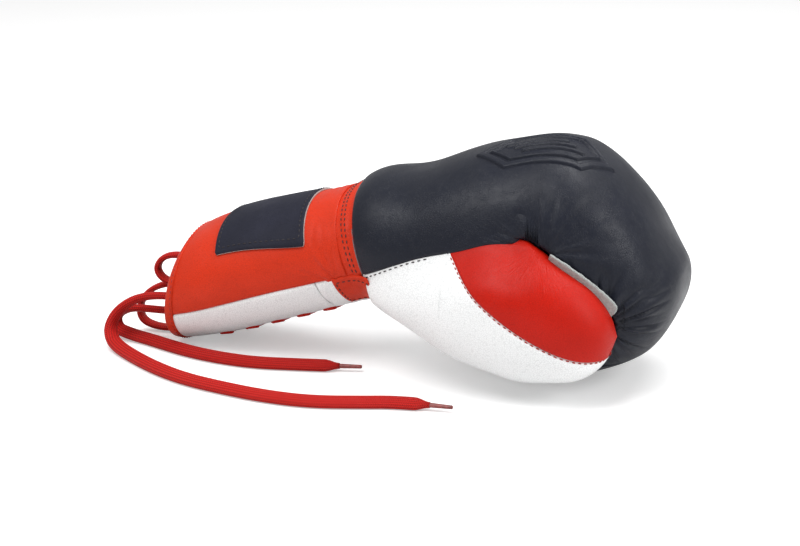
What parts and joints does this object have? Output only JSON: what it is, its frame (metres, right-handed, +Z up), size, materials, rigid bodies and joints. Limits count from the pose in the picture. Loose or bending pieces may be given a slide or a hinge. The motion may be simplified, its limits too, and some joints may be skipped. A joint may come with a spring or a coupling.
{
  "type": "boxing glove",
  "caption": "Left-hand lace-up boxing glove in navy, red and white leather, lying palm down, with an attached thumb, a padded cuff and loose laces.",
  "frame": {"origin": "centre of the glove's outline on the surface it lies on, laces left out", "axes": "+X from the cuff rim to the knuckles, +Y to the little-finger side, +Z up through the back of the hand"},
  "size_m": [0.3371, 0.1684, 0.1354],
  "materials": {
    "navy_leather": "semi-matt full-grain leather",
    "white_leather": "satin smooth leather",
    "red_leather": "satin smooth leather",
    "foam": "closed-cell foam",
    "lining": "woven lining",
    "grip": "firm foam bar",
    "strap_leather": "unfinished split leather",
    "patch_leather": "pressed leather patch with a raw edge",
    "lace": "braided flat lace",
    "aglet": "heat-shrunk lace tip",
    "eyelet": "turned leather eyelet"
  },
  "bodies": {
    "hand": {"knuckle_shell": "navy_leather", "finger_roll_panel": "navy_leather", "palm_panel": "white_leather", "knuckle_pad": "foam", "palm_pad": "foam", "hand_lining": "lining", "grip_bar": "grip", "knuckle_relief": "navy_leather", "wrist_band": "red_leather", "wrist_tab": "red_leather", "thumb_lock_strap": "strap_leather"},
    "thumb": {"thumb_side_panel": "white_leather", "thumb_top_panel": "red_leather", "thumb_pad": "foam", "thumb_lining": "lining"},
    "cuff": {"cuff_back_panel": "red_leather", "cuff_back_pad": "foam", "cuff_lining": "lining", "cuff_binding": "red_leather", "cuff_gusset": "white_leather", "label_patch": "patch_leather", "tongue": "white_leather", "lace_crossings": "lace", "lace_end_long": "lace", "aglet_long": "aglet", "lace_end_short": "lace", "aglet_short": "aglet", "lace_loop_upper": "lace", "lace_loop_lower": "lace"},
    "flap_thumb_side": {"flap_panel_thumb_side": "white_leather", "flap_pad_thumb_side": "foam", "flap_binding_thumb_side": "red_leather", "eyelets_thumb_side": "eyelet"},
    "flap_outer_side": {"flap_panel_outer_side": "white_leather", "flap_pad_outer_side": "foam", "flap_binding_outer_side": "red_leather", "eyelets_outer_side": "eyelet"}
  },
  "joints": [
    {"name": "wrist_bend", "type": "hinge", "parent": "hand", "child": "cuff", "pos_m": [-0.0295, 0.0052, 0.0675], "axis": [0, 1, 0], "range_deg": [-8, 12], "deforming": ["wrist_band", "wrist_tab"]},
    {"name": "thumb_swing", "type": "hinge", "parent": "hand", "child": "thumb", "pos_m": [-0.023, -0.0278, 0.06], "axis": [0, 0, -1], "range_deg": [0, 8], "stiffness_Nm_per_rad": 0.6, "springref_deg": -1.72, "deforming": ["thumb_lock_strap"]},
    {"name": "flap_thumb_side_open", "type": "hinge", "parent": "cuff", "child": "flap_thumb_side", "pos_m": [-0.14008, -0.0416, 0.02294], "axis": [-0.9563, 0, -0.2924], "range_deg": [0, 12], "deforming": ["lace_crossings"]},
    {"name": "flap_outer_side_open", "type": "hinge", "parent": "cuff", "child": "flap_outer_side", "pos_m": [-0.14008, 0.052, 0.02294], "axis": [0.9563, 0, 0.2924], "range_deg": [0, 12], "deforming": ["lace_crossings"]}
  ]
}
